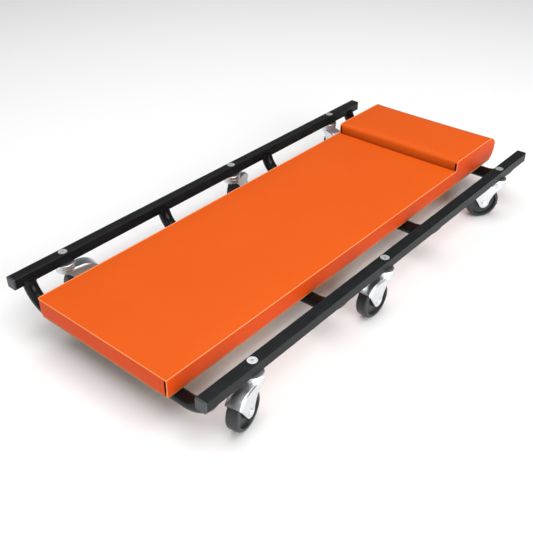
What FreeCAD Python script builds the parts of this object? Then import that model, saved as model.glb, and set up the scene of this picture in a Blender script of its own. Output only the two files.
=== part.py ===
"""Mechanic's creeper: a padded deck and headrest on a steel tube frame with six swivel castors.

Frame: +X towards the headrest, +Y to the left, +Z up. The origin is on the floor, midway between the
rails and under the middle of the length. Millimetres throughout. Every length that can be set by
itself is in SIZES, which becomes the spreadsheet "sizes"; everything else is worked out from it.
"""
import FreeCAD, Part
import math
import os
import PartDesign
import Sketcher
from FreeCAD import Placement, Rotation, Vector

SIZES = {
    # whole creeper
    "frame_width": 424.0,
    # square side rails and their end caps
    "rail_length": 914.4,
    "rail_side": 19.05,
    "rail_wall": 1.5,
    "rail_corner": 2.0,
    "cap_proud": 3.0,
    "cap_plug": 14.0,
    "cap_crown": 1.2,
    "cap_clearance": 0.1,
    # round cross tubes, bent up to the rails
    "tube_radius": 11.1,
    "tube_wall": 1.5,
    "tube_drop": 34.0,
    "tube_bend": 50.0,
    "tube_end_inset": 6.0,
    "tube_cope": 7.0,
    "tube_inset_foot": 25.0,
    "tube_inset_head": 29.4,
    # deck: plywood, foam and vinyl cover
    "board_thickness": 9.0,
    "cover_thickness": 1.0,
    "hem_width": 20.0,
    "hem_corner": 1.0,
    "pad_width": 277.0,
    "pad_height": 34.0,
    "pad_corner": 6.0,
    "pad_edge": 4.0,
    "pad_gap": 1.0,
    "headrest_length": 163.0,
    "headrest_overhang": 18.6,
    "headrest_width": 276.0,
    "headrest_height": 53.0,
    "headrest_edge": 5.0,
    "headrest_slope": 12.0,
    "headrest_waist": 24.0,
    "headrest_shoulder": 27.0,
    # screws up through the cross tubes into the plywood
    "screw_radius": 2.2,
    "screw_head_radius": 4.6,
    "screw_head_height": 2.6,
    "screw_grip": 7.0,
    "screw_spread": 180.0,
    "screw_clearance": 0.1,
    # king bolts
    "castor_inset": 96.5,
    "middle_stagger": 40.3,
    "bolt_radius": 4.0,
    "bolt_head_radius": 7.5,
    "bolt_socket_radius": 2.5,
    "bolt_socket_depth": 2.6,
    "bolt_length": 17.4,
    "nut_radius": 7.5,
    "nut_height": 6.5,
    # swivel bearing
    "race_radius": 16.8,
    "race_plate": 2.05,
    "race_skirt": 1.4,
    "race_depth": 6.2,
    "ball_radius": 2.38,
    "ball_pitch": 11.5,
    "ball_count": 12,
    "swivel_clearance": 0.05,
    # fork
    "trail": 26.7,
    "crown_radius": 16.0,
    "crown_thickness": 2.5,
    "crown_depth": 8.2,
    "crown_round": 1.2,
    "fork_plate": 2.1,
    "fork_gap": 22.4,
    "fork_tip": 9.8,
    "fork_brow": 8.0,
    "fork_waist": 6.7,
    "fork_waist_drop": 11.4,
    "hood_clearance": 1.65,
    "hood_angle": 41.0,
    "hood_corner": 4.0,
    "tip_back_angle": -35.0,
    "tip_low_angle": -100.0,
    "tip_front_angle": 175.0,
    # wheel and axle
    "wheel_diameter": 63.5,
    "castor_headroom": 14.9,
    "wheel_width": 20.0,
    "wheel_round": 4.0,
    "wheel_web": 11.0,
    "wheel_draft": 1.4,
    "rim_radius": 25.5,
    "hub_radius": 10.5,
    "hub_width": 21.2,
    "sleeve_radius": 6.0,
    "axle_radius": 3.0,
    "axle_head_radius": 4.8,
    "axle_head_height": 1.7,
    "axle_head_round": 0.75,
    "axle_clearance": 0.05,
}

# Castors: side (-1 right, +1 left), place along the rail, and the way the fork trails, in degrees.
CASTORS = (
    (-1, "foot", 191.0),
    (-1, "middle", 178.0),
    (-1, "head", 143.0),
    (1, "foot", -12.0),
    (1, "middle", 18.0),
    (1, "head", 250.0),
)

# Two lengths or directions closer than this are the same one.
TOLERANCE = 1e-6

doc = FreeCAD.newDocument("creeper")
sheet = doc.addObject("Spreadsheet::Sheet", "sizes")
for row, (alias, value) in enumerate(SIZES.items(), start=1):
    sheet.set(f"A{row}", alias)
    sheet.set(f"B{row}", str(value))
    sheet.setAlias(f"B{row}", alias)
doc.recompute()

nodes = []


def size(alias):
    """Read one driving dimension from the sheet."""
    return float(sheet.get(alias))


# Heights and places that several sub-parts share.
rail_y = (size("frame_width") - size("rail_side")) / 2
overall_length = size("cap_proud") + size("rail_length") + size("headrest_overhang")
rail_start = size("cap_proud") - overall_length / 2
headrest_back = overall_length / 2
headrest_foot = headrest_back - size("headrest_slope")
headrest_front = headrest_back - size("headrest_length")
pad_length = headrest_front - size("pad_gap") - rail_start
castor_height = size("wheel_diameter") + size("castor_headroom")
tube_axis_z = castor_height - size("tube_drop")
deck_base = tube_axis_z + size("tube_radius")
board_base = deck_base + size("cover_thickness")
board_top = board_base + size("board_thickness")
tube_run = size("rail_length") - size("tube_inset_foot") - size("tube_inset_head")
tube_places = [rail_start + size("tube_inset_foot") + i * tube_run / 3 for i in range(4)]
crown_top = -(size("race_plate") + size("swivel_clearance") + 2 * size("ball_radius"))
wheel_radius = size("wheel_diameter") / 2
axle_drop = wheel_radius - castor_height
rivet_end = size("fork_gap") / 2 + size("fork_plate") + size("axle_head_height")


def along_rail(side, name):
    """Distance of a castor from the foot end of the rails; the middle ones are staggered."""
    middle = size("rail_length") / 2 + side * size("middle_stagger")
    return {
        "foot": size("castor_inset"),
        "middle": middle,
        "head": size("rail_length") - size("castor_inset"),
    }[name]


def keep(obj, label):
    """Name a finished sub-part and put it on the list of nodes to write."""
    obj.Label = label
    nodes.append(obj)
    return obj


def feature(label, shape, placement=None):
    """A sub-part whose shape is worked out in code."""
    obj = doc.addObject("Part::Feature", label)
    obj.Shape = shape
    if placement is not None:
        obj.Placement = placement
    return keep(obj, label)


def bind(obj, **expressions):
    """Bind properties to expressions over the sheet."""
    for name, text in expressions.items():
        obj.setExpression(name, text)
    return obj


def lift(obj, x="0", y="0", z="0"):
    """Bind an object's position."""
    obj.setExpression("Placement.Base.x", x)
    obj.setExpression("Placement.Base.y", y)
    obj.setExpression("Placement.Base.z", z)
    return obj


def block(length, width, height, x, y, z):
    """A bound box, from its three sizes and its lowest corner."""
    box = doc.addObject("Part::Box", "block")
    bind(box, Length=length, Width=width, Height=height)
    return lift(box, x, y, z)


def drum(radius, height, x, y, z):
    """A bound upright cylinder."""
    cylinder = doc.addObject("Part::Cylinder", "drum")
    bind(cylinder, Radius=radius, Height=height)
    return lift(cylinder, x, y, z)


def funnel(low, high, height, x, y, z):
    """A bound upright cone."""
    cone = doc.addObject("Part::Cone", "funnel")
    bind(cone, Radius1=low, Radius2=high, Height=height)
    return lift(cone, x, y, z)


def fuse(*pieces):
    joined = doc.addObject("Part::MultiFuse", "joined")
    joined.Shapes = list(pieces)
    return joined


def cut(base, tool):
    result = doc.addObject("Part::Cut", "cut")
    result.Base = base
    result.Tool = tool
    return result


def rounded(base, radius, chosen):
    """Fillet the edges of base that the test picks."""
    doc.recompute()
    result = doc.addObject("Part::Fillet", "rounded")
    result.Base = base
    picked = [i for i, edge in enumerate(base.Shape.Edges, start=1) if chosen(edge)]
    result.Edges = [(i, radius, radius) for i in picked]
    return result


def runs_along(edge, axis):
    """True for a straight edge parallel to the axis."""
    if not isinstance(edge.Curve, Part.Line):
        return False
    return abs(abs(edge.Curve.Direction.dot(axis)) - 1) < TOLERANCE


def hexagon(radius, height):
    """A level six-sided face round the Z axis."""
    turn = [math.radians(60 * i) for i in range(7)]
    corners = [Vector(radius * math.cos(a), radius * math.sin(a), height) for a in turn]
    return Part.Face(Part.makePolygon(corners))


def origin_plane(body, role):
    return next(item for item in body.Origin.OriginFeatures if item.Role == role)


def sketch_on(body, role):
    sketch = body.newObject("Sketcher::SketchObject", "outline")
    sketch.AttachmentSupport = (origin_plane(body, role), [""])
    sketch.MapMode = "FlatFace"
    return sketch


def polygon(sketch, corners):
    """Close a polygon whose corners are pairs of expressions from the sketch's origin."""
    count = len(corners)
    turn = [2 * math.pi * i / count for i in range(count)]
    rough = [Vector(10 * math.cos(a), 10 * math.sin(a), 0) for a in turn]
    for i in range(count):
        sketch.addGeometry(Part.LineSegment(rough[i], rough[(i + 1) % count]))
    for i in range(count):
        sketch.addConstraint(Sketcher.Constraint("Coincident", i, 2, (i + 1) % count, 1))
    for i, (across, up) in enumerate(corners):
        for kind, text in (("DistanceX", across), ("DistanceY", up)):
            number = sketch.addConstraint(Sketcher.Constraint(kind, -1, 1, i, 1, 1.0))
            sketch.setExpression(f"Constraints[{number}]", text)
    return sketch


def turned(label, corners, round_radius=None, round_test=None):
    """A body turned about Z from a polygon of (radius, height) expressions."""
    body = doc.addObject("PartDesign::Body", label)
    sketch = polygon(sketch_on(body, "XZ_Plane"), corners)
    turning = body.newObject("PartDesign::Revolution", "turning")
    turning.Profile = sketch
    turning.ReferenceAxis = (sketch, ["V_Axis"])
    turning.Angle = 360.0
    if round_radius is not None:
        doc.recompute()
        softened = body.newObject("PartDesign::Fillet", "softened")
        picked = [f"Edge{i}" for i, edge in enumerate(turning.Shape.Edges, start=1) if round_test(edge)]
        softened.Base = (turning, picked)
        softened.setExpression("Radius", round_radius)
    return keep(body, label)


def swivel_place(side, name, angle):
    """Placement of a castor: origin on the rail's underside, local X along the trail."""
    x = rail_start + along_rail(side, name)
    return Placement(Vector(x, side * rail_y, castor_height), Rotation(Vector(0, 0, 1), angle))


def axle_place(side, name, angle):
    """Placement at the middle of a castor's wheel, local Z along its axle."""
    to_axle = Placement(Vector(size("trail"), 0, axle_drop), Rotation(Vector(1, 0, 0), -90))
    return swivel_place(side, name, angle) * to_axle


def make_rail(label, side):
    """Square tube with a countersunk hole above and a plain hole below at each castor."""
    outer = block("sizes.rail_length", "sizes.rail_side", "sizes.rail_side",
                  "0", "-sizes.rail_side / 2", "0")
    outer = rounded(outer, size("rail_corner"), lambda e: runs_along(e, Vector(1, 0, 0)))
    inside = "sizes.rail_side - 2 * sizes.rail_wall"
    hollow = block("sizes.rail_length", inside, inside,
                   "0", "-sizes.rail_side / 2 + sizes.rail_wall", "sizes.rail_wall")
    holes = []
    places = ("sizes.castor_inset", "sizes.rail_length / 2 - sizes.middle_stagger",
              "sizes.rail_length - sizes.castor_inset")
    for place in places:
        holes.append(drum("sizes.bolt_radius", "sizes.rail_wall * 2", place, "0", "-sizes.rail_wall / 2"))
        holes.append(funnel("sizes.bolt_head_radius - sizes.rail_wall", "sizes.bolt_head_radius",
                            "sizes.rail_wall", place, "0", "sizes.rail_side - sizes.rail_wall"))
    rail = cut(cut(outer, hollow), fuse(*holes))
    if side < 0:
        rail.Placement = Placement(Vector(rail_start, -rail_y, castor_height), Rotation())
    else:
        turned_round = Rotation(Vector(0, 0, 1), 180)
        far_end = rail_start + size("rail_length")
        rail.Placement = Placement(Vector(far_end, rail_y, castor_height), turned_round)
    return keep(rail, label)


def make_end_caps():
    """Four moulded caps: a plug inside the rail's end and a crowned head outside it."""
    head = Part.makeBox(size("cap_proud"), size("rail_side"), size("rail_side"),
                        Vector(-size("cap_proud"), -size("rail_side") / 2, 0))
    along = [e for e in head.Edges if runs_along(e, Vector(1, 0, 0))]
    head = head.makeFillet(size("rail_corner"), along)
    rim = [e for e in head.Edges if abs(e.BoundBox.XMax + size("cap_proud")) < TOLERANCE]
    head = head.makeFillet(size("cap_crown"), rim)
    wide = size("rail_side") - 2 * size("rail_wall") - 2 * size("cap_clearance")
    plug = Part.makeBox(size("cap_plug"), wide, wide,
                        Vector(0, -wide / 2, size("rail_wall") + size("cap_clearance")))
    cap = head.fuse(plug).removeSplitter()
    caps = []
    for side in (-1, 1):
        for end, angle in ((0.0, 0), (size("rail_length"), 180)):
            piece = cap.copy()
            piece.Placement = Placement(Vector(rail_start + end, side * rail_y, castor_height),
                                        Rotation(Vector(0, 0, 1), angle))
            caps.append(piece)
    return feature("rail_end_caps", Part.makeCompound(caps))


def tube_path(rise):
    """Centre line of a cross tube: a level run that bends up at both ends until it has risen this far."""
    bend = size("tube_bend")
    steep = math.acos(1 - size("tube_drop") / bend)
    level = rail_y - size("tube_end_inset") - bend * math.sin(steep)
    last = math.acos(1 - rise / bend)

    def on_bend(side, angle):
        return Vector(0, side * (level + bend * math.sin(angle)), bend * (1 - math.cos(angle)))

    right, left = [[on_bend(side, angle) for angle in (last, last / 2, 0)] for side in (-1, 1)]
    return Part.Wire([
        Part.Arc(*right).toShape(),
        Part.LineSegment(right[2], left[2]).toShape(),
        Part.Arc(*reversed(left)).toShape(),
    ])


def rod(path, radius):
    """A round bar along a path."""
    start = path.Vertexes[0].Point
    first = path.Edges[0]
    ring = Part.Wire([Part.makeCircle(radius, start, first.tangentAt(first.FirstParameter))])
    return path.makePipeShell([ring], True, False)


def make_cross_tube(label, x):
    """Round steel tube coped to fit round the rails, closed at its ends, with two holes for screws."""
    wide = size("frame_width")
    cope = size("tube_drop") + size("tube_cope")
    path = tube_path(cope + size("tube_cope") / 2)
    tube = rod(path, size("tube_radius"))
    hollow = rod(path, size("tube_radius") - size("tube_wall"))
    room = Vector(-wide / 2, -wide / 2, 0)
    closed_at = Vector(0, 0, size("tube_drop") - size("tube_wall"))
    hollow = hollow.cut(Part.makeBox(wide, wide, wide, room + closed_at))
    waste = [hollow, Part.makeBox(wide, wide, wide, room + Vector(0, 0, cope))]
    for side in (-1, 1):
        corner = Vector(-wide / 2, side * rail_y - size("rail_side") / 2, size("tube_drop"))
        rail = Part.makeBox(wide, size("rail_side"), size("rail_side"), corner)
        along = [e for e in rail.Edges if runs_along(e, Vector(1, 0, 0))]
        waste.append(rail.makeFillet(size("rail_corner"), along))
        low = Vector(0, side * size("screw_spread") / 2, -2 * size("tube_radius"))
        waste.append(Part.makeCylinder(size("screw_radius") + size("screw_clearance"),
                                       4 * size("tube_radius"), low))
    return feature(label, tube.cut(waste), Placement(Vector(x, 0, tube_axis_z), Rotation()))


def make_screws():
    """Pan-head screws, two through each cross tube."""
    low = tube_axis_z - size("tube_radius")
    top = board_base + size("screw_grip")
    screws = []
    for x in tube_places:
        for side in (-1, 1):
            y = side * size("screw_spread") / 2
            head = Part.makeCylinder(size("screw_head_radius"), size("screw_head_height"),
                                     Vector(x, y, low - size("screw_head_height")))
            under = low - size("screw_head_height")
            rim = [e for e in head.Edges if abs(e.BoundBox.ZMax - under) < TOLERANCE]
            head = head.makeFillet(size("screw_head_height") / 2, rim)
            shank = Part.makeCylinder(size("screw_radius"), top - low, Vector(x, y, low))
            screws.append(head.fuse(shank).removeSplitter())
    return feature("board_screws", Part.makeCompound(screws))


def deck_block(inset, lowest, highest):
    """The pad's outline as a block with rounded corners and upper edges, shrunk by inset."""
    start = rail_start + inset
    long = pad_length - 2 * inset
    wide = size("pad_width") - 2 * inset
    solid = Part.makeBox(long, wide, highest - lowest, Vector(start, -wide / 2, lowest))
    upright = [e for e in solid.Edges if runs_along(e, Vector(0, 0, 1))]
    solid = solid.makeFillet(size("pad_corner") - inset, upright)
    upper = [e for e in solid.Edges if e.BoundBox.ZMin > highest - TOLERANCE]
    return solid.makeFillet(size("pad_edge") - inset, upper)


def headrest_block(inset, lowest):
    """The headrest's side outline drawn across its width, shrunk by inset."""
    top = deck_base + size("headrest_height") - inset
    front = headrest_front + inset
    back = headrest_back - inset
    foot = headrest_foot - inset
    waist = deck_base + size("headrest_waist")
    shoulder = size("headrest_shoulder") - inset
    edge = size("headrest_edge") - inset
    across = (size("headrest_width") - 2 * inset) / 2
    bow = math.sqrt(0.5)

    def at(x, z):
        return Vector(x, -across, z)

    front_arc = Part.Arc(at(front, top - edge), at(front + edge * (1 - bow), top - edge * (1 - bow)),
                         at(front + edge, top))
    high = top - waist
    back_arc = Part.Arc(at(back - shoulder, top),
                        at(back - shoulder * (1 - bow), waist + high * bow), at(back, waist))
    edges = [
        Part.LineSegment(at(front, lowest), at(front, top - edge)).toShape(),
        front_arc.toShape(),
        Part.LineSegment(at(front + edge, top), at(back - shoulder, top)).toShape(),
        back_arc.toShape(),
        Part.LineSegment(at(back, waist), at(foot, lowest)).toShape(),
        Part.LineSegment(at(foot, lowest), at(front, lowest)).toShape(),
    ]
    return Part.Face(Part.Wire(edges)).extrude(Vector(0, 2 * across, 0))


def board_block(inset, low, high):
    """The plywood's outline between two heights, shrunk by inset; it runs under pad and headrest."""
    start = rail_start + size("cover_thickness") + inset
    end = headrest_foot - size("cover_thickness") - inset
    wide = min(size("pad_width"), size("headrest_width")) - 2 * size("cover_thickness") - 2 * inset
    solid = Part.makeBox(end - start, wide, high - low, Vector(start, -wide / 2, low))
    upright = [e for e in solid.Edges if runs_along(e, Vector(0, 0, 1))]
    at_foot = [e for e in upright if e.BoundBox.XMin < (start + end) / 2]
    corner = max(size("pad_corner") - size("cover_thickness") - inset, size("hem_corner"))
    return solid.makeFillet(corner, at_foot)


def make_deck():
    """Plywood board, two foam blocks and two vinyl covers hemmed round the board's underside."""
    skin = size("cover_thickness")
    board = board_block(0, board_base, board_top)
    for x in tube_places:
        for side in (-1, 1):
            pilot = Part.makeCylinder(size("screw_radius"), size("screw_grip"),
                                      Vector(x, side * size("screw_spread") / 2, board_base))
            board = board.cut(pilot)
    slot = board_block(0, board_base, board_top)
    window = board_block(size("hem_width"), deck_base - skin, board_base + skin)
    pad_top = deck_base + size("pad_height")
    pad_core = deck_block(skin, board_base, pad_top - skin)
    pad_foam = deck_block(skin, board_top, pad_top - skin)
    pad_cover = deck_block(0, deck_base, pad_top).cut([pad_core, slot, window])
    head_core = headrest_block(skin, board_base)
    head_foam = headrest_block(skin, board_top)
    head_cover = headrest_block(0, deck_base).cut([head_core, slot, window])
    feature("pad_board", board)
    feature("pad_foam", pad_foam)
    feature("pad_cover", pad_cover)
    feature("headrest_foam", head_foam)
    feature("headrest_cover", head_cover)


def repeat_at_castors(label, shape):
    """One node that holds a separate copy of a solid at each castor's swivel axis."""
    copies = []
    for side, name, angle in CASTORS:
        piece = shape.copy()
        piece.Placement = swivel_place(side, name, 0)
        copies.append(piece)
    return feature(label, Part.makeCompound(copies))


def make_king_bolts():
    """Countersunk socket bolts down through rail, race plate and fork."""
    head = size("bolt_head_radius")
    shank = size("bolt_radius")
    top = size("rail_side")
    cone = Part.makeCone(shank, head, head - shank, Vector(0, 0, top - (head - shank)))
    stem = Part.makeCylinder(shank, top + size("bolt_length"), Vector(0, 0, -size("bolt_length")))
    socket = hexagon(size("bolt_socket_radius"), top).extrude(Vector(0, 0, -size("bolt_socket_depth")))
    return repeat_at_castors("king_bolts", cone.fuse(stem).removeSplitter().cut(socket))


def make_race_plates():
    """Pressed cups under the rail that carry the upper ball track."""
    disc = Part.makeCylinder(size("race_radius"), size("race_depth"), Vector(0, 0, -size("race_depth")))
    rim = [e for e in disc.Edges if e.BoundBox.ZMin > -TOLERANCE]
    disc = disc.makeFillet(size("race_skirt"), rim)
    room = Part.makeCylinder(size("race_radius") - size("race_skirt"), size("race_depth"),
                             Vector(0, 0, -size("race_depth") - size("race_plate")))
    hole = Part.makeCylinder(size("bolt_radius"), 2 * size("race_plate"),
                             Vector(0, 0, -2 * size("race_plate")))
    return repeat_at_castors("race_plates", disc.cut([room, hole]))


def make_king_nuts():
    """Hexagon lock nuts under the fork crown."""
    top = crown_top - size("crown_thickness") - 2 * size("swivel_clearance")
    nut = hexagon(size("nut_radius"), top).extrude(Vector(0, 0, -size("nut_height")))
    bore = Part.makeCylinder(size("bolt_radius"), 2 * size("nut_height"),
                             Vector(0, 0, top - 1.5 * size("nut_height")))
    return repeat_at_castors("king_nuts", nut.cut(bore))


def fork_outline(half_width, hood_radius, reach_back):
    """The fork's side outline drawn across its full width, with the hood's corners rounded.

    Hood arc about the axle, a straight back edge, a round tip and a hollow front edge.
    """
    axle = Vector(size("trail"), -half_width, axle_drop)

    def about_axle(radius, degrees):
        angle = math.radians(degrees)
        return axle + Vector(radius * math.cos(angle), 0, radius * math.sin(angle))

    tip = size("fork_tip")
    crest = about_axle(hood_radius, 90)
    corner = about_axle(hood_radius, reach_back)
    back = about_axle(tip, size("tip_back_angle"))
    bottom = about_axle(tip, size("tip_low_angle"))
    front = about_axle(tip, size("tip_front_angle"))
    brow = Vector(-size("fork_brow"), -half_width, crown_top - size("crown_depth"))
    waist = Vector(size("fork_waist"), -half_width, brow.z - size("fork_waist_drop"))
    shelf = Vector(brow.x, -half_width, crest.z)
    edges = [
        Part.LineSegment(shelf, crest).toShape(),
        Part.Arc(crest, about_axle(hood_radius, (90 + reach_back) / 2), corner).toShape(),
        Part.LineSegment(corner, back).toShape(),
        Part.Arc(back, bottom, front).toShape(),
        Part.Arc(front, waist, brow).toShape(),
        Part.LineSegment(brow, shelf).toShape(),
    ]
    solid = Part.Face(Part.Wire(edges)).extrude(Vector(0, 2 * half_width, 0))
    hood_edges = []
    for edge in solid.Edges:
        middle = edge.valueAt((edge.FirstParameter + edge.LastParameter) / 2)
        at_side = abs(abs(middle.y) - half_width) < TOLERANCE
        from_axle = (middle - Vector(axle.x, middle.y, axle.z)).Length
        on_arc = abs(from_axle - hood_radius) < TOLERANCE and middle.x > crest.x
        on_shelf = abs(middle.z - crest.z) < TOLERANCE
        if at_side and (on_arc or on_shelf):
            hood_edges.append(edge)
    return solid.makeFillet(size("hood_corner"), hood_edges)


def make_fork(label, place):
    """Pressed hooded fork: round crown, two side plates and a hood over the wheel."""
    inner_half = size("fork_gap") / 2
    outer_half = inner_half + size("fork_plate")
    inner_hood = wheel_radius + size("hood_clearance")
    outer_hood = inner_hood + size("fork_plate")
    crown_low = crown_top - size("crown_depth")
    crown = Part.makeCylinder(size("crown_radius"), size("crown_depth"), Vector(0, 0, crown_low))
    rim = [e for e in crown.Edges if e.BoundBox.ZMin > crown_top - TOLERANCE]
    crown = crown.makeFillet(size("crown_round"), rim)
    shell = crown.fuse(fork_outline(outer_half, outer_hood, size("hood_angle")))
    well = Part.makeCylinder(inner_half, size("crown_depth"),
                             Vector(0, 0, crown_low - size("crown_thickness")))
    wheel_room = Part.makeCylinder(inner_hood, size("fork_gap"),
                                   Vector(size("trail"), -inner_half, axle_drop), Vector(0, 1, 0))
    behind = Part.makeBox(size("trail"), size("fork_gap"), castor_height,
                          Vector(0, -inner_half, crown_low - castor_height))
    bolt_hole = Part.makeCylinder(size("bolt_radius") + size("swivel_clearance"), castor_height,
                                  Vector(0, 0, -castor_height))
    axle_hole = Part.makeCylinder(size("axle_radius"), 4 * outer_half,
                                  Vector(size("trail"), -2 * outer_half, axle_drop), Vector(0, 1, 0))
    front = Part.makeBox(size("crown_radius"), size("fork_gap"), castor_height,
                         Vector(-size("crown_radius"), -inner_half, crown_low - castor_height))
    shell = shell.cut([well, wheel_room, behind, front, bolt_hole, axle_hole])
    return feature(label, shell, place)


def make_ball_ring(label, place):
    """Steel balls that roll between race plate and crown."""
    balls = []
    count = int(size("ball_count"))
    height = crown_top + size("ball_radius")
    for i in range(count):
        angle = 2 * math.pi * i / count
        centre = Vector(size("ball_pitch") * math.cos(angle), size("ball_pitch") * math.sin(angle), height)
        balls.append(Part.makeSphere(size("ball_radius"), centre))
    return feature(label, Part.makeCompound(balls), place)


def make_axle(number, place):
    """Hollow rivet through the fork and the fixed sleeve that the wheel turns on."""
    half = "(sizes.fork_gap / 2 + sizes.fork_plate)"
    rivet = turned(f"axle_rivet_{number}", [
        ("0", f"-{half} - sizes.axle_head_height"),
        ("sizes.axle_head_radius", f"-{half} - sizes.axle_head_height"),
        ("sizes.axle_head_radius", f"-{half}"),
        ("sizes.axle_radius", f"-{half}"),
        ("sizes.axle_radius", half),
        ("sizes.axle_head_radius", half),
        ("sizes.axle_head_radius", f"{half} + sizes.axle_head_height"),
        ("0", f"{half} + sizes.axle_head_height"),
    ], "sizes.axle_head_round", lambda e: abs(abs(e.CenterOfMass.z) - rivet_end) < TOLERANCE)
    rivet.Placement = place
    side = "(sizes.fork_gap / 2 - sizes.axle_clearance)"
    sleeve = turned(f"axle_sleeve_{number}", [
        ("sizes.axle_radius + sizes.axle_clearance", f"-{side}"),
        ("sizes.sleeve_radius", f"-{side}"),
        ("sizes.sleeve_radius", side),
        ("sizes.axle_radius + sizes.axle_clearance", side),
    ])
    sleeve.Placement = place


def is_tread_edge(edge):
    """True for the two circles at the sides of a wheel's tread."""
    return isinstance(edge.Curve, Part.Circle) and abs(edge.Curve.Radius - wheel_radius) < TOLERANCE


def make_wheel(number, place):
    """Moulded wheel: crowned tread, recessed webs and a hub."""
    half = "sizes.wheel_width / 2"
    web = "sizes.wheel_web / 2"
    hub = "sizes.hub_width / 2"
    bore = "sizes.sleeve_radius + sizes.axle_clearance"
    outer = "sizes.wheel_diameter / 2"
    wheel = turned(f"wheel_{number}", [
        (bore, f"-{hub}"),
        ("sizes.hub_radius", f"-{hub}"),
        ("sizes.hub_radius + sizes.wheel_draft", f"-{web}"),
        ("sizes.rim_radius - sizes.wheel_draft", f"-{web}"),
        ("sizes.rim_radius", f"-{half}"),
        (outer, f"-{half}"),
        (outer, half),
        ("sizes.rim_radius", half),
        ("sizes.rim_radius - sizes.wheel_draft", web),
        ("sizes.hub_radius + sizes.wheel_draft", web),
        ("sizes.hub_radius", hub),
        (bore, hub),
    ], "sizes.wheel_round", is_tread_edge)
    wheel.Placement = place


make_rail("right_rail", -1)
make_rail("left_rail", 1)
make_end_caps()
for number, x in enumerate(tube_places, start=1):
    make_cross_tube(f"cross_tube_{number}", x)
make_deck()
make_screws()
make_king_bolts()
make_race_plates()
make_king_nuts()
for number, castor in enumerate(CASTORS, start=1):
    make_fork(f"fork_{number}", swivel_place(*castor))
    make_ball_ring(f"ball_ring_{number}", swivel_place(*castor))
    make_axle(number, axle_place(*castor))
    make_wheel(number, axle_place(*castor))

doc.recompute()
for obj in doc.Objects:
    if "Invalid" in obj.State or "Error" in obj.State:
        raise RuntimeError(f"{obj.Label} failed: {obj.State}")
for obj in nodes:
    if obj.Shape.isNull() or not obj.Shape.isValid():
        raise RuntimeError(f"{obj.Label} has no valid shape")

os.makedirs("parts", exist_ok=True)
for obj in nodes:
    obj.Shape.exportStep(f"parts/{obj.Label}.step")
print(f"{len(nodes)} nodes written")
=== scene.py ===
# %% [markdown]
# # A mechanic's creeper
# A creeper is the low padded board that a mechanic lies on to roll under a car. This lesson dresses
# its steel frame, deck and castors. The frame comes from CAD with its true sizes, so nothing here
# moves or resizes it. We only give it finishes, and we sew the soft parts that CAD cannot.

# %% The frame
import math

import bpy
import numpy as np
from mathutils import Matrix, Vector


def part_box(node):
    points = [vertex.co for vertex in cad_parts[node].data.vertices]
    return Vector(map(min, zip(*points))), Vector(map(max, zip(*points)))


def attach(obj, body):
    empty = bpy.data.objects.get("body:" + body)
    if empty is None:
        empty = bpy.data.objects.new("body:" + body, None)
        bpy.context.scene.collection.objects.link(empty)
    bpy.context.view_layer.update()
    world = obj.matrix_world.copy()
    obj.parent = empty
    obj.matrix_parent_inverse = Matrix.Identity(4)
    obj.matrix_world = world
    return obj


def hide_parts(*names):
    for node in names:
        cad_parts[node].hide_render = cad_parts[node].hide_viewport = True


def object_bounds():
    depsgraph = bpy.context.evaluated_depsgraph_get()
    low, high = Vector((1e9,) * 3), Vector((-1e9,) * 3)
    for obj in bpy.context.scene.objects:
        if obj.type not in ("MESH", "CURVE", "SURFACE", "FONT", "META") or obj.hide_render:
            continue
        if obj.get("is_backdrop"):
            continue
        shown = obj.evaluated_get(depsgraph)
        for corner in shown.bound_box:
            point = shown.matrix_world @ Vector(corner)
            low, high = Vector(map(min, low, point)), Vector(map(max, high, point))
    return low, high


MM = 0.001

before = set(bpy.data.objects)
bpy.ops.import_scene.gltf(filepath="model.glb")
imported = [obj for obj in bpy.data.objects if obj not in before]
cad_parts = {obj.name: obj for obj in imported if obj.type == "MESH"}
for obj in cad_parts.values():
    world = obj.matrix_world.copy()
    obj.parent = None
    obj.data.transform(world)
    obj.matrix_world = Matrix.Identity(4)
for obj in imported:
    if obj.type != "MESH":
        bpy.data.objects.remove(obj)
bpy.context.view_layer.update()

# %% [markdown]
# Everything new is made with the same operators that you would use by hand. They act on whatever is
# selected, and loading leaves the frame selected, so each piece starts from an empty selection.

# %% Starting clean
def deselect():
    """Select nothing, in object mode."""
    if bpy.context.object and bpy.context.object.mode != "OBJECT":
        bpy.ops.object.mode_set(mode="OBJECT")
    bpy.ops.object.select_all(action="DESELECT")


def only(obj):
    """Make one object the selected and active one."""
    deselect()
    obj.select_set(True)
    bpy.context.view_layer.objects.active = obj
    return obj


# %% [markdown]
# The camera stands where a buyer would: to the right of the foot end, a little above eye level for a
# kneeling person. A lens of about 51 mm on a full-frame sensor keeps the long rails from splaying.

# %% Camera
LOOK_AT = Vector((-0.1892, -0.0754, 0.0974))
TO_CAMERA = Vector((-0.6291, -0.5325, 0.5663)).normalized()
CAMERA_DISTANCE = 1.1874

camera_data = bpy.data.cameras.new("camera")
camera_data.sensor_width = 36.0
camera_data.lens = 51.37
camera = bpy.data.objects.new("camera", camera_data)
bpy.context.scene.collection.objects.link(camera)
camera.location = LOOK_AT + TO_CAMERA * CAMERA_DISTANCE
camera.rotation_mode = "QUATERNION"
camera.rotation_quaternion = (-TO_CAMERA).to_track_quat("-Z", "Y")
bpy.context.scene.camera = camera
bpy.context.scene.view_settings.view_transform = "Standard"

# %% [markdown]
# ## Finishes
# Colours are written as the sRGB hex values that a paint chart would give. Blender's shaders work in
# linear light, so one function turns them.

# %% Colour and node helpers
def linear(code, alpha=1.0):
    """sRGB hex to a linear RGBA tuple."""
    channels = [int(code[i:i + 2], 16) / 255 for i in (0, 2, 4)]
    turned = [c / 12.92 if c <= 0.04045 else ((c + 0.055) / 1.055) ** 2.4 for c in channels]
    return (*turned, alpha)


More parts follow.
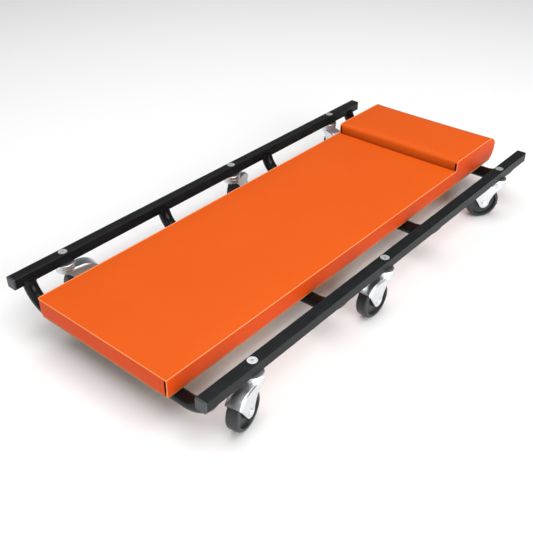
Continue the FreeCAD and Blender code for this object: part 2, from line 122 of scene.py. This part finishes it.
def add_node(material, kind, inputs=None, **settings):
    """Add a node, set it, and feed its sockets with values or with other nodes' outputs."""
    node = material.node_tree.nodes.new(kind)
    for name, value in settings.items():
        setattr(node, name, value)
    for name, value in (inputs or {}).items():
        if isinstance(value, bpy.types.NodeSocket):
            material.node_tree.links.new(value, node.inputs[name])
        else:
            node.inputs[name].default_value = value
    return node


def blank_material(name):
    """A material with its shader, and the coordinates that its patterns are laid out on."""
    material = bpy.data.materials.new(name)
    material.use_nodes = True
    shader = material.node_tree.nodes["Principled BSDF"]
    place = add_node(material, "ShaderNodeTexCoord").outputs["Object"]
    return material, shader, place


def mix_colours(material, factor, first, second):
    """Blend two linear colours by a factor socket."""
    node = add_node(material, "ShaderNodeMix", {"Factor": factor}, data_type="RGBA")
    node.inputs["A"].default_value = first
    node.inputs["B"].default_value = second
    return node.outputs["Result"]


def connect(material, output, socket):
    """Feed a node's output into a socket."""
    material.node_tree.links.new(output, socket)


# %% [markdown]
# Upholstery vinyl is PVC on a knit backing, embossed with a leather grain between hot rollers. The
# grain is shallow cells about a millimetre across, and the surface is satin, so broad highlights
# spread softly. The sides and the headrest's front are the same vinyl, given darker, redder copies as
# painted shade; the front copy also has painted shade that darkens it towards its crease at the deck.

# %% Upholstery vinyl
GRAIN_SIZE = 1.5 * MM


def upholstery_vinyl(name, light, deep, grain_height=0.05 * MM, roughness=0.5, shade=None):
    """Vinyl; shade is a colour it falls to, and the two heights that it falls between."""
    material, shader, place = blank_material(name)
    cells = add_node(material, "ShaderNodeTexVoronoi", {"Vector": place, "Scale": 1 / GRAIN_SIZE},
                     feature="SMOOTH_F1")
    creases = add_node(material, "ShaderNodeTexNoise",
                       {"Vector": place, "Scale": 0.4 / GRAIN_SIZE, "Detail": 4.0})
    height = add_node(material, "ShaderNodeMath",
                      {0: cells.outputs["Distance"], 1: creases.outputs["Fac"]}, operation="ADD")
    bump = add_node(material, "ShaderNodeBump",
                    {"Height": height.outputs[0], "Strength": 0.5, "Distance": grain_height})
    drift = add_node(material, "ShaderNodeTexNoise", {"Vector": place, "Scale": 9.0, "Detail": 3.0})
    colour = mix_colours(material, drift.outputs["Fac"], light, deep)
    # Painted shade: the colour darkens to the shade colour towards the lower height.
    if shade:
        crease_shade_colour, low, high = shade
        across = add_node(material, "ShaderNodeSeparateXYZ", {"Vector": place})
        climb = add_node(material, "ShaderNodeMapRange",
                         {"Value": across.outputs["Z"], "From Min": low, "From Max": high})
        blend = add_node(material, "ShaderNodeMix", {"Factor": climb.outputs["Result"]},
                         data_type="RGBA")
        blend.inputs["A"].default_value = crease_shade_colour
        connect(material, colour, blend.inputs["B"])
        colour = blend.outputs["Result"]
    gloss = add_node(material, "ShaderNodeMapRange",
                     {"Value": creases.outputs["Fac"], "To Min": roughness - 0.05,
                      "To Max": roughness + 0.07})
    connect(material, colour, shader.inputs["Base Color"])
    connect(material, gloss.outputs["Result"], shader.inputs["Roughness"])
    connect(material, bump.outputs["Normal"], shader.inputs["Normal"])
    shader.inputs["IOR"].default_value = 1.52
    shader.inputs["Specular IOR Level"].default_value = 0.12
    return material


pad_low, pad_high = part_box("pad_cover")
head_low, head_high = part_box("headrest_cover")
vinyl_top = upholstery_vinyl("orange_vinyl", linear("E05B12"), linear("DA560E"))
# A darker, redder copy of the same vinyl for upright faces: painted shade.
vinyl_side_painted_shade = upholstery_vinyl("orange_vinyl_side_painted_shade", linear("E44F0E"), linear("DB490A"))
# The headrest's front: a darker copy of the vinyl as painted shade, darkening further towards the
# crease at the deck.
vinyl_front_painted_shade = upholstery_vinyl("orange_vinyl_front_painted_shade", linear("E06215"), linear("DA5D12"),
                               shade=(linear("A2460C"), pad_high.z, head_high.z))
# Lighter vinyl for the rolled seams: a painted highlight.
vinyl_seam_painted_highlight = upholstery_vinyl("orange_vinyl_seam_painted_highlight", linear("EE9A62"), linear("E6884E"),
                              roughness=0.4)
# Near-black vinyl for the walls of the folded corners' slits: painted shade.
vinyl_slit_painted_shade = upholstery_vinyl("orange_vinyl_slit_painted_shade", linear("5A2206"), linear("4A1B05"),
                              roughness=0.8)

# %% [markdown]
# The rails are powder coated: dry paint dust baked until it flows. It leaves a fine orange peel, and
# the colour goes a little lighter in broad random patches.

# %% Powder coat
def powder_coat(name, body, worn, roughness, peel=0.9 * MM, depth=0.035 * MM):
    """Satin or gloss paint with orange peel, and a lighter colour in random patches."""
    material, shader, place = blank_material(name)
    waves = add_node(material, "ShaderNodeTexNoise",
                     {"Vector": place, "Scale": 1 / peel, "Detail": 2.0})
    bump = add_node(material, "ShaderNodeBump",
                    {"Height": waves.outputs["Fac"], "Strength": 0.6, "Distance": depth})
    drift = add_node(material, "ShaderNodeTexNoise",
                     {"Vector": place, "Scale": 40.0, "Detail": 5.0})
    spread = add_node(material, "ShaderNodeMapRange",
                      {"Value": drift.outputs["Fac"], "From Min": 0.45, "From Max": 0.75})
    colour = mix_colours(material, spread.outputs["Result"], body, worn)
    gloss = add_node(material, "ShaderNodeMapRange",
                     {"Value": drift.outputs["Fac"], "To Min": roughness - 0.06,
                      "To Max": roughness + 0.08})
    connect(material, colour, shader.inputs["Base Color"])
    connect(material, gloss.outputs["Result"], shader.inputs["Roughness"])
    connect(material, bump.outputs["Normal"], shader.inputs["Normal"])
    shader.inputs["Specular IOR Level"].default_value = 0.2
    return material


rail_paint = powder_coat("black_powder_coat", linear("0D1112"), linear("171B1D"), 0.4)
tube_paint = powder_coat("black_gloss_enamel", linear("101314"), linear("171A1B"), 0.2,
                         depth=0.015 * MM)

# %% [markdown]
# The end caps are injection-moulded polyethylene, softer and greyer than the paint, with a fine spark
# texture from the mould. The wheels are moulded polypropylene, nearly black, and the floor polishes
# their treads to a satin.

# %% Moulded plastics
def moulded_plastic(name, body, faded, roughness, texture=0.6 * MM, depth=0.03 * MM):
    """Plastic with the mould's spark texture and a slightly uneven colour."""
    material, shader, place = blank_material(name)
    spark = add_node(material, "ShaderNodeTexNoise",
                     {"Vector": place, "Scale": 1 / texture, "Detail": 6.0})
    bump = add_node(material, "ShaderNodeBump",
                    {"Height": spark.outputs["Fac"], "Strength": 0.5, "Distance": depth})
    drift = add_node(material, "ShaderNodeTexNoise",
                     {"Vector": place, "Scale": 60.0, "Detail": 4.0})
    colour = mix_colours(material, drift.outputs["Fac"], body, faded)
    gloss = add_node(material, "ShaderNodeMapRange",
                     {"Value": drift.outputs["Fac"], "To Min": roughness - 0.08,
                      "To Max": roughness + 0.08})
    connect(material, colour, shader.inputs["Base Color"])
    connect(material, gloss.outputs["Result"], shader.inputs["Roughness"])
    connect(material, bump.outputs["Normal"], shader.inputs["Normal"])
    return material


cap_plastic = moulded_plastic("polyethylene_cap", linear("35393B"), linear("3F4345"), 0.45)
wheel_plastic = moulded_plastic("polypropylene_wheel", linear("1E2122"), linear("292C2D"), 0.42)

# %% [markdown]
# The forks, rivets and bolts are bright zinc plate over pressed steel. Zinc is a metal, so its colour
# is all in its reflections. Under them lies a faint mottle of crystals and handling marks.

# %% Zinc plate and polished steel
def plated_metal(name, bright, dull, roughness, mottle=5.0 * MM, ripple_depth=0.006 * MM):
    """Bare or plated metal with a faint mottle in its colour and gloss."""
    material, shader, place = blank_material(name)
    patches = add_node(material, "ShaderNodeTexNoise",
                       {"Vector": place, "Scale": 1 / mottle, "Detail": 5.0})
    colour = mix_colours(material, patches.outputs["Fac"], bright, dull)
    gloss = add_node(material, "ShaderNodeMapRange",
                     {"Value": patches.outputs["Fac"], "From Min": 0.3, "From Max": 0.7,
                      "To Min": roughness - 0.06, "To Max": roughness + 0.08})
    ripple = add_node(material, "ShaderNodeBump",
                      {"Height": patches.outputs["Fac"], "Strength": 0.2, "Distance": ripple_depth})
    connect(material, colour, shader.inputs["Base Color"])
    connect(material, gloss.outputs["Result"], shader.inputs["Roughness"])
    connect(material, ripple.outputs["Normal"], shader.inputs["Normal"])
    shader.inputs["Metallic"].default_value = 1.0
    return material


fork_zinc = plated_metal("bright_zinc_fork", linear("E6E9EB"), linear("D2D6D9"), 0.34,
                         mottle=9 * MM, ripple_depth=0.002 * MM)
screw_zinc = plated_metal("bright_zinc_screw", linear("F2F3F4"), linear("DADCDE"), 0.42,
                          mottle=1.5 * MM)
race_chrome = plated_metal("chromed_race", linear("F6F7F8"), linear("E6E8EA"), 0.34)
ball_steel = plated_metal("ball_bearing_steel", linear("C4C6C8"), linear("B4B7BA"), 0.1)

# %% [markdown]
# The board is plywood. Its broad faces show long grain, stretched along the sheet, and its edges show
# thin plies of alternating grain.

# %% Plywood
def plywood(name):
    """Bare plywood with grain along the sheet and plies in its edges."""
    material, shader, place = blank_material(name)
    along = add_node(material, "ShaderNodeMapping", {"Vector": place, "Scale": (6.0, 90.0, 700.0)})
    grain = add_node(material, "ShaderNodeTexNoise",
                     {"Vector": along.outputs["Vector"], "Scale": 1.0, "Detail": 6.0,
                      "Distortion": 0.6})
    colour = mix_colours(material, grain.outputs["Fac"], linear("C79A62"), linear("94683A"))
    bump = add_node(material, "ShaderNodeBump",
                    {"Height": grain.outputs["Fac"], "Strength": 0.4, "Distance": 0.1 * MM})
    connect(material, colour, shader.inputs["Base Color"])
    connect(material, bump.outputs["Normal"], shader.inputs["Normal"])
    shader.inputs["Roughness"].default_value = 0.7
    return material


board_wood = plywood("bare_plywood")

# %% Finishes on the frame's nodes
def paint(material, *names):
    """Give CAD nodes one material."""
    for name in names:
        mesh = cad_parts[name].data
        mesh.materials.clear()
        mesh.materials.append(material)


def numbered(stem, count):
    """Node names from stem_1 up to the count."""
    return [f"{stem}_{i}" for i in range(1, count + 1)]


CASTORS = 6
TUBES = 4
paint(rail_paint, "left_rail", "right_rail")
paint(cap_plastic, "rail_end_caps")
paint(tube_paint, *numbered("cross_tube", TUBES))
paint(board_wood, "pad_board")
paint(vinyl_top, "pad_foam", "headrest_foam", "pad_cover", "headrest_cover")
paint(screw_zinc, "king_bolts", "king_nuts", "board_screws")
paint(screw_zinc, *numbered("axle_rivet", CASTORS), *numbered("axle_sleeve", CASTORS))
paint(race_chrome, "race_plates")
paint(fork_zinc, *numbered("fork", CASTORS))
paint(ball_steel, *numbered("ball_ring", CASTORS))
paint(wheel_plastic, *numbered("wheel", CASTORS))

# %% [markdown]
# ## The deck pad
# The pad is a boxed cushion: a flat top panel sewn to a side band, pulled over foam and stapled under
# the plywood. We grow it from a grid that is the top panel, extrude its rim down for the band, fold it
# under for the hem, and leave it open over the board until it is smoothed. Cloth simulation blows it
# up very slightly, so that the panels swell between seams that hold still. The deck's cover runs on to
# the headrest, where the two butt together.

# %% A boxed cushion from a grid
CELL = 8 * MM
HEM = 20 * MM
VINYL = 1 * MM

board_low, board_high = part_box("pad_board")


def rim_to(x_low, x_high, y_half, z):
    """Fit the selected rim to a rectangle at a height."""
    obj = bpy.context.edit_object
    bpy.ops.object.mode_set(mode="OBJECT")
    rim = [v for v in obj.data.vertices if v.select]
    old_x = [v.co.x for v in rim]
    old_y = max(v.co.y for v in rim)
    low, high = min(old_x), max(old_x)
    for v in rim:
        v.co.x = x_low + (v.co.x - low) / (high - low) * (x_high - x_low)
        v.co.y = v.co.y / old_y * y_half
        v.co.z = z
    bpy.ops.object.mode_set(mode="EDIT")


def boxed_cushion(name, low, high, rows):
    """Top panel, side band in rows, hem and board pocket; the pocket is open until smoothed."""
    deselect()
    length = high.x - low.x
    width = high.y - low.y
    bpy.ops.mesh.primitive_grid_add(x_subdivisions=round(length / CELL),
                                    y_subdivisions=round(width / CELL),
                                    size=1.0, location=((low.x + high.x) / 2, 0, high.z))
    cushion = bpy.context.object
    cushion.name = name
    cushion.scale = (length, width, 1)
    bpy.ops.object.transform_apply(location=True, rotation=False, scale=True)
    bpy.ops.object.mode_set(mode="EDIT")
    bpy.ops.mesh.select_mode(type="EDGE")
    bpy.ops.mesh.select_all(action="DESELECT")
    bpy.ops.mesh.select_non_manifold()
    half = width / 2
    inner_half = board_high.y
    pocket_x = (max(low.x + VINYL, board_low.x), min(high.x - VINYL, board_high.x))
    levels = [(low.x, high.x, half, z) for z in rows]
    under = board_low.z
    levels.append((low.x + HEM, high.x - HEM, half - HEM, low.z))
    levels.append((low.x + HEM, high.x - HEM, half - HEM, under))
    levels.append((*pocket_x, inner_half, under))
    levels.append((*pocket_x, inner_half, board_high.z))
    for level in levels:
        bpy.ops.mesh.extrude_edges_move()
        rim_to(*level)
    bpy.ops.mesh.select_all(action="SELECT")
    bpy.ops.mesh.normals_make_consistent(inside=False)
    bpy.ops.object.mode_set(mode="OBJECT")
    print(name, "starts with", len(cushion.data.vertices), "points")
    return cushion


def sew(cushion, name, on_seam):
    """Remember the points that lie on a kind of seam, as a vertex group."""
    seam = cushion.vertex_groups.new(name=name)
    seam.add([v.index for v in cushion.data.vertices if on_seam(v.co)], 1.0, "REPLACE")


def points_in(cushion, name):
    """The numbers of the points in a vertex group."""
    group = cushion.vertex_groups[name].index
    return {v.index for v in cushion.data.vertices for g in v.groups
            if g.group == group and g.weight > 0.99}


PAD_ROWS = [pad_high.z - d * MM for d in (4, 10, 18, 26)] + [pad_low.z]
pad_end = Vector((head_low.x, pad_high.y, pad_high.z))
pad = boxed_cushion("deck_pad", pad_low, pad_end, PAD_ROWS)
NEAR = 0.1 * MM


def on_pad_seam(co):
    """Round the top panel except at the headrest, and down the folded corner at the right foot."""
    at_side = abs(co.y) > pad_high.y - NEAR
    at_end = co.x < pad_low.x + NEAR
    folded = co.x < pad_low.x + NEAR and co.y < pad_low.y + NEAR
    return co.z > pad_high.z - NEAR and (at_side or at_end) or folded


def on_pad_crease(co):
    """The seams, and the upright corners where the deck butts against the headrest."""
    butted = co.x > pad_end.x - NEAR and abs(co.y) > pad_high.y - NEAR
    return on_pad_seam(co) or butted


sew(pad, "rolled", on_pad_seam)
sew(pad, "creased", on_pad_crease)

SHOULDER = 27 * MM
HEAD_ROWS = [head_high.z - d * MM for d in (1.2, 3, 5, 9, 14, 19, 27, 35, 43)] + [head_low.z]
headrest = boxed_cushion("headrest", head_low, head_high, HEAD_ROWS)


def on_head_crease(co):
    """Round each side panel: one long panel wraps over the front, top and back between them."""
    at_end = co.x < head_low.x + NEAR or co.x > head_high.x - NEAR
    return abs(co.y) > head_high.y - NEAR and (at_end or co.z > head_high.z - NEAR)


def on_head_roll(co):
    """The same seams, except that the roll is lost below the deck's top and the shoulder."""
    lowest = pad_high.z - NEAR if co.x < head_high.x - NEAR else head_high.z - SHOULDER
    return on_head_crease(co) and co.z > lowest


sew(headrest, "rolled", on_head_roll)
sew(headrest, "creased", on_head_crease)

# %% [markdown]
# The headrest is not a plain box. Its back rolls over in one round shoulder and then leans in towards
# the board, and its front edge is eased. Each row of points is slid to that outline.

# %% The headrest's outline
WAIST_HEIGHT = 24 * MM
BACK_LEAN = 12 * MM
FRONT_EASE = 5 * MM


def back_at(z):
    """Where the headrest's back is at a height."""
    waist = head_low.z + WAIST_HEIGHT
    if z <= waist:
        return head_high.x - BACK_LEAN * (waist - z) / WAIST_HEIGHT
    rise = (z - waist) / (head_high.z - waist)
    return head_high.x - SHOULDER * (1 - math.sqrt(max(0.0, 1 - rise * rise)))


def front_at(z):
    """Where its front is at a height."""
    drop = min(1.0, (head_high.z - z) / FRONT_EASE)
    return head_low.x + FRONT_EASE * (1 - math.sqrt(max(0.0, 1 - (1 - drop) ** 2)))


for v in headrest.data.vertices:
    on_pocket = abs(v.co.y) < head_high.y - 0.5 * VINYL and v.co.z < head_high.z - VINYL and \
        head_low.x + 0.5 * VINYL < v.co.x < head_high.x - 0.5 * VINYL
    if not on_pocket:
        share = (v.co.x - head_low.x) / (head_high.x - head_low.x)
        v.co.x = front_at(v.co.z) + share * (back_at(v.co.z) - front_at(v.co.z))

# %% [markdown]
# Blowing up. The hem and the pocket are pinned, and so are the seams, because thread does not stretch.
# Foam is firm, so we limit how far any point may move with a smooth ceiling.

# %% Cloth
SWELL_FRAMES = 20
PRESSURE = 4.0
STRETCH_STIFFNESS = 15
BENDING_STIFFNESS = 2.0
PAD_SWELL = 2.5 * MM
HEADREST_SWELL = 3.0 * MM


def swell(cushion, ceiling):
    """Inflate a cushion by cloth simulation, keeping seams and underside where they are."""
    mesh = cushion.data
    rest = np.empty(len(mesh.vertices) * 3)
    mesh.vertices.foreach_get("co", rest)
    rest = rest.reshape(-1, 3)
    sewn = points_in(cushion, "creased")
    held = [v.index for v in mesh.vertices if v.co.z < board_high.z + 0.1 * MM or v.index in sewn]
    pins = cushion.vertex_groups.new(name="pins")
    pins.add(held, 1.0, "REPLACE")
    only(cushion)
    bpy.ops.object.modifier_add(type="CLOTH")
    cloth = cushion.modifiers[-1]
    cloth.settings.use_pressure = True
    cloth.settings.uniform_pressure_force = PRESSURE
    cloth.settings.vertex_group_mass = "pins"
    cloth.settings.tension_stiffness = STRETCH_STIFFNESS
    cloth.settings.compression_stiffness = STRETCH_STIFFNESS
    cloth.settings.bending_stiffness = BENDING_STIFFNESS
    cloth.settings.effector_weights.gravity = 0.0
    cloth.point_cache.frame_start = 1
    cloth.point_cache.frame_end = SWELL_FRAMES
    for number in range(1, SWELL_FRAMES + 1):
        bpy.context.scene.frame_set(number)
    bpy.ops.object.modifier_apply(modifier=cloth.name)
    bpy.context.scene.frame_set(1)
    now = np.empty(len(mesh.vertices) * 3)
    mesh.vertices.foreach_get("co", now)
    moved = now.reshape(-1, 3) - rest
    far = np.linalg.norm(moved, axis=1, keepdims=True)
    limit = ceiling * np.tanh(far / ceiling) / np.maximum(far, 1e-9)
    mesh.vertices.foreach_set("co", (rest + moved * limit).ravel())
    mesh.update()
    print(cushion.name, "swelled by up to", round(float((far * limit).max()) / MM, 2), "mm of",
          round(float(far.max()) / MM, 2))


swell(pad, PAD_SWELL)
swell(headrest, HEADREST_SWELL)

# %% Smoothing the panels
SIDE, FRONT = 1, 2
SEAM_CREASE = 0.9


def smooth_panels(cushion, front):
    """Crease the sewn edges, subdivide once, and give upright faces darker copies of the vinyl as
    painted shade.
    """
    mesh = cushion.data
    sewn = points_in(cushion, "creased")
    sharpness = [SEAM_CREASE if set(edge.vertices) <= sewn else 0.0 for edge in mesh.edges]
    crease = mesh.attributes.new("crease_edge", "FLOAT", "EDGE")
    crease.data.foreach_set("value", sharpness)
    only(cushion)
    bpy.ops.object.modifier_add(type="SUBSURF")
    cushion.modifiers[-1].levels = 1
    cushion.modifiers[-1].render_levels = 1
    bpy.ops.object.modifier_apply(modifier=cushion.modifiers[-1].name)
    bpy.ops.object.mode_set(mode="EDIT")
    bpy.ops.mesh.select_all(action="DESELECT")
    bpy.ops.mesh.select_non_manifold()
    bpy.ops.mesh.edge_face_add()
    bpy.ops.mesh.select_all(action="SELECT")
    bpy.ops.mesh.normals_make_consistent(inside=False)
    bpy.ops.object.mode_set(mode="OBJECT")
    mesh.materials.clear()
    for material in (vinyl_top, vinyl_side_painted_shade, vinyl_front_painted_shade):
        mesh.materials.append(material)
    normals = np.empty(len(mesh.polygons) * 3)
    mesh.polygons.foreach_get("normal", normals)
    facing = normals.reshape(-1, 3)
    # Upright faces take the darker copies as painted shade: the sides and the deck's foot end get the
    # side copy, and the headrest's front gets the copy that darkens towards its crease.
    shaded_copy = np.where(np.abs(facing[:, 1]) > 0.7, SIDE, np.where(facing[:, 0] < -0.5, front, 0))
    mesh.polygons.foreach_set("material_index", shaded_copy)
    mesh.update()


smooth_panels(pad, SIDE)
smooth_panels(headrest, FRONT)

# %% [markdown]
# Along a seam the two panels meet in a narrow rolled edge that stands proud and catches the light, and
# its vinyl is painted lighter as a painted highlight. We copy the sewn edges away from the cushion,
# turn them into a curve, and give the curve a round section.

# %% Rolled seams
ROLL_RADIUS = 0.85 * MM


def rolled_seam(cushion, name):
    """A round roll along every sewn edge, as its own piece."""
    mesh = cushion.data
    sewn = points_in(cushion, "rolled")
    only(cushion)
    bpy.ops.object.mode_set(mode="EDIT")
    bpy.ops.mesh.select_mode(type="EDGE")
    bpy.ops.mesh.select_all(action="DESELECT")
    bpy.ops.object.mode_set(mode="OBJECT")
    mesh.edges.foreach_set("select", [set(edge.vertices) <= sewn for edge in mesh.edges])
    bpy.ops.object.mode_set(mode="EDIT")
    bpy.ops.mesh.duplicate()
    bpy.ops.mesh.separate(type="SELECTED")
    bpy.ops.object.mode_set(mode="OBJECT")
    roll = next(o for o in bpy.context.selected_objects if o != cushion)
    roll.name = name
    only(roll)
    bpy.ops.object.convert(target="CURVE")
    roll.data.bevel_depth = ROLL_RADIUS
    roll.data.bevel_resolution = 2
    roll.data.use_fill_caps = True
    bpy.ops.object.convert(target="MESH")
    bpy.ops.object.shade_smooth_by_angle(angle=math.radians(60))
    # The roll is given the lighter vinyl: a painted highlight.
    roll.data.materials.clear()
    roll.data.materials.append(vinyl_seam_painted_highlight)
    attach(roll, "frame")
    print(name, "has", len(roll.data.polygons), "faces")
    return roll


rolled_seam(pad, "deck_pad_seam")
rolled_seam(headrest, "headrest_seam")

# %% [markdown]
# Where the band is folded round a corner, it leaves a slit beside the roll. A slit is an edge that goes
# inwards, so we cut it with a thin blade and a Boolean; its walls get a near-black vinyl as painted
# shade.

# %% Folded corners
SLIT_WIDTH = 3.2 * MM
SLIT_DEPTH = 6 * MM
SLIT_FROM_EDGE = 3.2 * MM


def slit(cushion, face_x, edge_y, z_low, z_high):
    """Cut an upright slit into a face that looks to the foot end, a little in from its edge."""
    deselect()
    inward = math.copysign(SLIT_FROM_EDGE, -edge_y)
    bpy.ops.mesh.primitive_cube_add(size=1.0,
                                    location=(face_x, edge_y + inward, (z_low + z_high) / 2),
                                    scale=(2 * SLIT_DEPTH, SLIT_WIDTH, z_high - z_low))
    blade = bpy.context.object
    bpy.ops.object.mode_set(mode="EDIT")
    bpy.ops.mesh.bevel(offset=0.4 * SLIT_WIDTH, segments=2)
    bpy.ops.object.mode_set(mode="OBJECT")
    # The blade's near-black vinyl passes to the slit's walls: painted shade.
    blade.data.materials.append(vinyl_slit_painted_shade)
    only(cushion)
    bpy.ops.object.modifier_add(type="BOOLEAN")
    cutter = cushion.modifiers[-1]
    cutter.operation = "DIFFERENCE"
    cutter.solver = "EXACT"
    cutter.material_mode = "TRANSFER"
    cutter.object = blade
    bpy.ops.object.modifier_apply(modifier=cutter.name)
    bpy.data.objects.remove(blade)


slit(pad, pad_low.x, pad_low.y, pad_low.z + 2 * MM, pad_high.z - 2 * MM)
for side_y in (head_low.y, head_high.y):
    slit(headrest, head_low.x, side_y, pad_high.z, head_high.z - 4 * MM)

# %% Cushions ride with the frame
for cushion, hidden in ((pad, ("pad_cover", "pad_foam")),
                        (headrest, ("headrest_cover", "headrest_foam"))):
    only(cushion)
    bpy.ops.object.shade_smooth_by_angle(angle=math.radians(40))
    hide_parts(*hidden)
    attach(cushion, "frame")
    print(cushion.name, "has", len(cushion.data.polygons), "faces")

# %% [markdown]
# ## Staples and welds
# The vinyl is turned under the board and held by wire staples about a thumb's width apart. One staple
# is modelled and the rest are copies. None sits over a cross tube, which lies against the hem.

# %% Staples
STAPLE_PITCH = 42 * MM
STAPLE_INSET = 11 * MM
WIRE_ROUND = 0.4 * MM
CROWN = Vector((10 * MM, 1.2 * MM, 0.9 * MM))
tube_spans = [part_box(name) for name in numbered("cross_tube", TUBES)]


def staple_row(start, end):
    """Even places from start to end that keep clear of the tubes, with the row's direction."""
    count = max(1, round((end - start).length / STAPLE_PITCH))
    places = [start.lerp(end, (i + 0.5) / count) for i in range(count)]
    along = abs((end - start).y) > abs((end - start).x)
    return [(p, along) for p in places
            if not any(low.x - CROWN.x < p.x < high.x + CROWN.x for low, high in tube_spans)]


def corner_place(x, y):
    """A point on the underside of the hem."""
    return Vector((x, y, pad_low.z))


rows = []
for low, high, end_x in ((pad_low, pad_high, pad_low.x + STAPLE_INSET),
                         (head_low, head_high, board_high.x - STAPLE_INSET)):
    side = high.y - STAPLE_INSET
    for y in (-side, side):
        rows += staple_row(corner_place(max(low.x, pad_low.x) + STAPLE_INSET, y),
                           corner_place(min(high.x, board_high.x) - STAPLE_INSET, y))
    rows += staple_row(corner_place(end_x, -side), corner_place(end_x, side))

deselect()
bpy.ops.mesh.primitive_cube_add(size=1.0, scale=CROWN)
staple = bpy.context.object
bpy.ops.object.mode_set(mode="EDIT")
bpy.ops.mesh.bevel(offset=WIRE_ROUND, segments=2)
bpy.ops.object.mode_set(mode="OBJECT")
copies = []
for place, across in rows:
    copy = staple.copy()
    copy.data = staple.data.copy()
    bpy.context.scene.collection.objects.link(copy)
    copy.location = place
    copy.rotation_euler.z = math.radians(90 if across else 0)
    copies.append(copy)
bpy.data.objects.remove(staple)
only(copies[0])
for copy in copies:
    copy.select_set(True)
bpy.ops.object.join()
bpy.ops.object.transform_apply(location=True, rotation=True, scale=True)
staples = bpy.context.object
staples.name = "hem_staples"
staples.data.materials.clear()
staples.data.materials.append(screw_zinc)
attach(staples, "frame")
print("staples:", len(rows))

# %% [markdown]
# The end of each cross tube is shaped to fit round the lower inside edge of a rail, and a weld runs all
# round the joint. We lay a curve where the tube meets the rail and give it the section of a weld bead.

# %% Weld beads
BEAD_RADIUS = 0.9 * MM
BEAD_STEPS = 9
TUBE_RADIUS = 11.1 * MM
SLANT = 1.06
rail_low, rail_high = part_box("left_rail")


def weld_bead(name, middle_x, side, top_z, tube_outer_y):
    """A bead round one joint: under the rail, up its inner face, and across the tube's end."""
    inner_y = rail_low.y
    centre_y = tube_outer_y - TUBE_RADIUS * SLANT
    reach = math.acos((centre_y - inner_y) / (TUBE_RADIUS * SLANT))
    points = []
    for step in range(-BEAD_STEPS, BEAD_STEPS + 1):
        angle = (math.pi - reach) * step / BEAD_STEPS
        points.append((middle_x + TUBE_RADIUS * math.sin(angle),
                       centre_y + TUBE_RADIUS * SLANT * math.cos(angle), rail_low.z))
    half = points[-1][0] - middle_x
    for share in (1.0, 0.6, 0.2, -0.2, -0.6, -1.0):
        points.append((middle_x + half * share, inner_y, top_z))
    deselect()
    bpy.ops.curve.primitive_bezier_curve_add()
    bead = bpy.context.object
    bead.name = name
    curve = bead.data
    curve.splines.clear()
    line = curve.splines.new("POLY")
    line.points.add(len(points) - 1)
    for point, (x, y, z) in zip(line.points, points):
        point.co = (x, side * y, z, 1)
    line.use_cyclic_u = True
    curve.bevel_depth = BEAD_RADIUS
    curve.bevel_resolution = 2
    bpy.ops.object.convert(target="MESH")
    return bead


beads = []
for name in numbered("cross_tube", TUBES):
    tube_low, tube_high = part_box(name)
    for side in (-1, 1):
        middle_x = (tube_low.x + tube_high.x) / 2
        beads.append(weld_bead(f"{name}_bead", middle_x, side, tube_high.z, tube_high.y))
only(beads[0])
for bead in beads:
    bead.select_set(True)
bpy.ops.object.join()
bpy.ops.object.transform_apply(location=True, rotation=True, scale=True)
welds = bpy.context.object
welds.name = "frame_welds"
bpy.ops.object.shade_smooth_by_angle(angle=math.radians(60))
welds.data.materials.clear()
welds.data.materials.append(tube_paint)
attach(welds, "frame")
print("weld beads:", len(beads))

# %% [markdown]
# ## Studio
# A wide pale floor, one large softbox overhead, one to the right, and a weak one at the foot.

# %% Floor and lights
deselect()
bpy.ops.mesh.primitive_plane_add(size=14.0)
floor = bpy.context.object
floor.name = "studio_floor"
floor_paint, floor_shader, _ = blank_material("studio_floor")
floor_shader.inputs["Base Color"].default_value = linear("FAFAFA")
floor_shader.inputs["Roughness"].default_value = 0.9
floor.data.materials.append(floor_paint)
floor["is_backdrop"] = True


def softbox(name, place, aim, size, power):
    """A square area light pointed at a spot."""
    data = bpy.data.lights.new(name, "AREA")
    data.shape = "SQUARE"
    data.size = size
    data.energy = power
    lamp = bpy.data.objects.new(name, data)
    bpy.context.scene.collection.objects.link(lamp)
    lamp.location = place
    lamp.rotation_mode = "QUATERNION"
    lamp.rotation_quaternion = (Vector(aim) - Vector(place)).to_track_quat("-Z", "Y")
    return lamp


softbox("overhead", (-0.1, 0.0, 2.6), (0, 0, 0), 3.2, 73)
softbox("from_right", (-0.4, -2.6, 0.9), (0, 0, 0.05), 2.0, 64)
softbox("from_foot", (-2.8, -0.3, 0.8), (0, 0, 0.05), 1.6, 7)

world = bpy.data.worlds.new("studio")
world.use_nodes = True
world.node_tree.nodes["Background"].inputs["Color"].default_value = linear("FFFFFF")
world.node_tree.nodes["Background"].inputs["Strength"].default_value = 0.25
bpy.context.scene.world = world

# %% Sizes, and the end
low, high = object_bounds()
